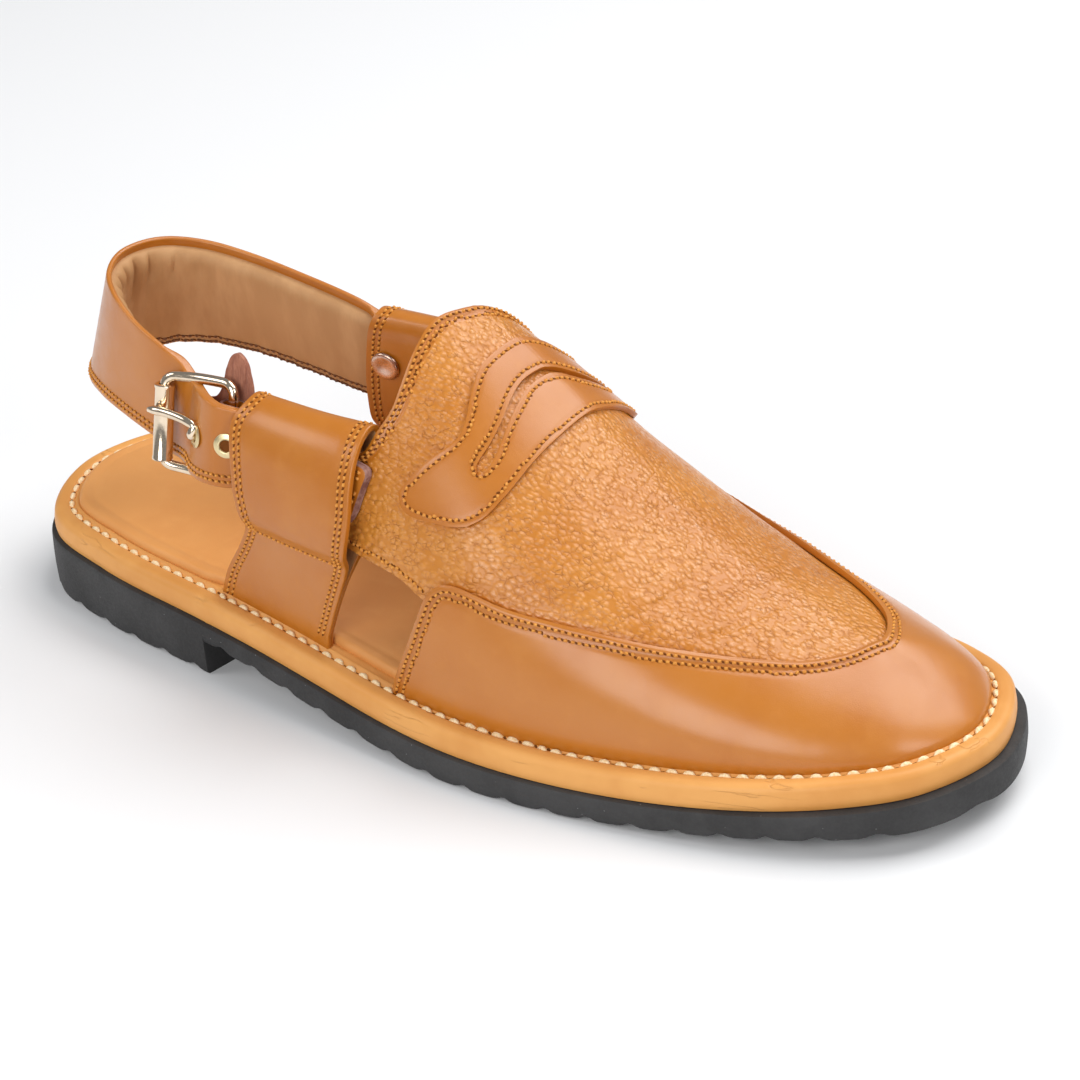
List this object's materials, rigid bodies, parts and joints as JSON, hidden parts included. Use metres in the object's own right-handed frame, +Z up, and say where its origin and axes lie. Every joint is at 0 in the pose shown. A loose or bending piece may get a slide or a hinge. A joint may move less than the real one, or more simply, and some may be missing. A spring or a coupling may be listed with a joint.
{
  "type": "peshawari chappal",
  "caption": "Right-foot leather sandal with a closed vamp and toe, open sides and an adjustable heel strap held by a roller buckle at the outer side.",
  "frame": {"origin": "middle of the bounding box at the ground, where heel and forefoot stand", "axes": "+X along the shoe towards the toe, +Y towards the inner side of the foot, -Y towards the outer side and the buckle, +Z up"},
  "size_m": [0.296, 0.1048, 0.1035],
  "materials": {
    "rubber_sole": "matte moulded black rubber",
    "leather_welt": "smooth tan leather wrapped round the midsole, satin",
    "leather_insole": "smooth tan leather, satin",
    "leather_upper": "tan leather: smooth mudguard, pebbled vamp, satin",
    "leather_strap": "smooth tan leather, light brown lining",
    "suede_guard": "reddish brown suede",
    "brass": "polished pale gold plating",
    "rivet_metal": "worn copper coloured plating"
  },
  "bodies": {
    "root": {"outsole": "rubber_sole", "midsole": "leather_welt", "insole": "leather_insole", "upper": "leather_upper", "loop_outer": "leather_strap", "loop_inner": "leather_strap", "heel_strap": "leather_strap", "buckle_chape": "leather_strap", "buckle_guard": "suede_guard", "buckle_frame": "brass", "buckle_roller": "brass", "buckle_prong": "brass", "eyelet_prong": "brass", "eyelet_spare": "brass", "rivet_outer": "rivet_metal", "rivet_inner": "rivet_metal"}
  },
  "joints": []
}
